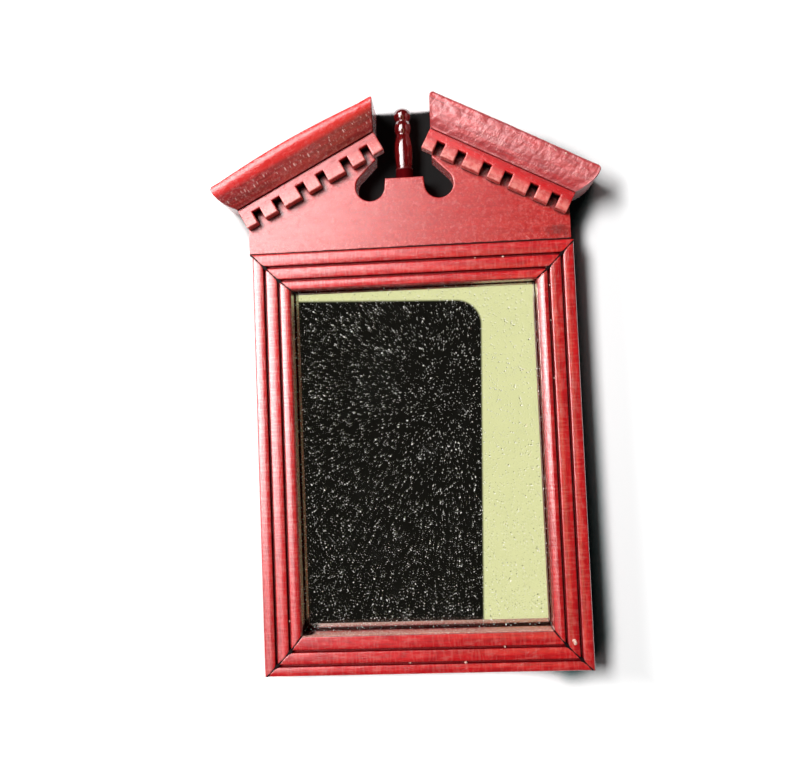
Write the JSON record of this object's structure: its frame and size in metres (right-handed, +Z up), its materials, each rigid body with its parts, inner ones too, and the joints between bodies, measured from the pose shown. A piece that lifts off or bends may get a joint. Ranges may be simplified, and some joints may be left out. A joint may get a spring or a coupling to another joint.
{
  "type": "miniature wall mirror",
  "caption": "Dolls' house wall mirror: mitred reeded frame, flat glass, raked broken pediment with dentil cornices and a turned finial.",
  "frame": {"origin": "middle of the backing board's back face, which lies on the wall, behind the middle of the glass", "axes": "+X to the right as the mirror is seen, +Y out of the back into the wall, +Z up"},
  "size_m": [0.0681, 0.0089, 0.1013],
  "materials": {
    "frame_moulding": "red mahogany stain under semi-gloss lacquer",
    "pediment_wood": "red mahogany stain under semi-gloss lacquer",
    "cornice_wood": "red mahogany stain under semi-gloss lacquer, with fine cutter marks",
    "dentil_wood": "red mahogany stain under semi-gloss lacquer",
    "turned_wood": "dark red stain under thick gloss lacquer",
    "mirror": "silvered glass with a little dust",
    "backing": "bare thin board"
  },
  "bodies": {
    "root": {"top_rail": "frame_moulding", "bottom_rail": "frame_moulding", "left_stile": "frame_moulding", "right_stile": "frame_moulding", "pediment_board": "pediment_wood", "left_crown": "cornice_wood", "right_crown": "cornice_wood", "left_dentil_strip": "dentil_wood", "right_dentil_strip": "dentil_wood", "finial": "turned_wood", "mirror_glass": "mirror", "backing_board": "backing"}
  },
  "joints": []
}
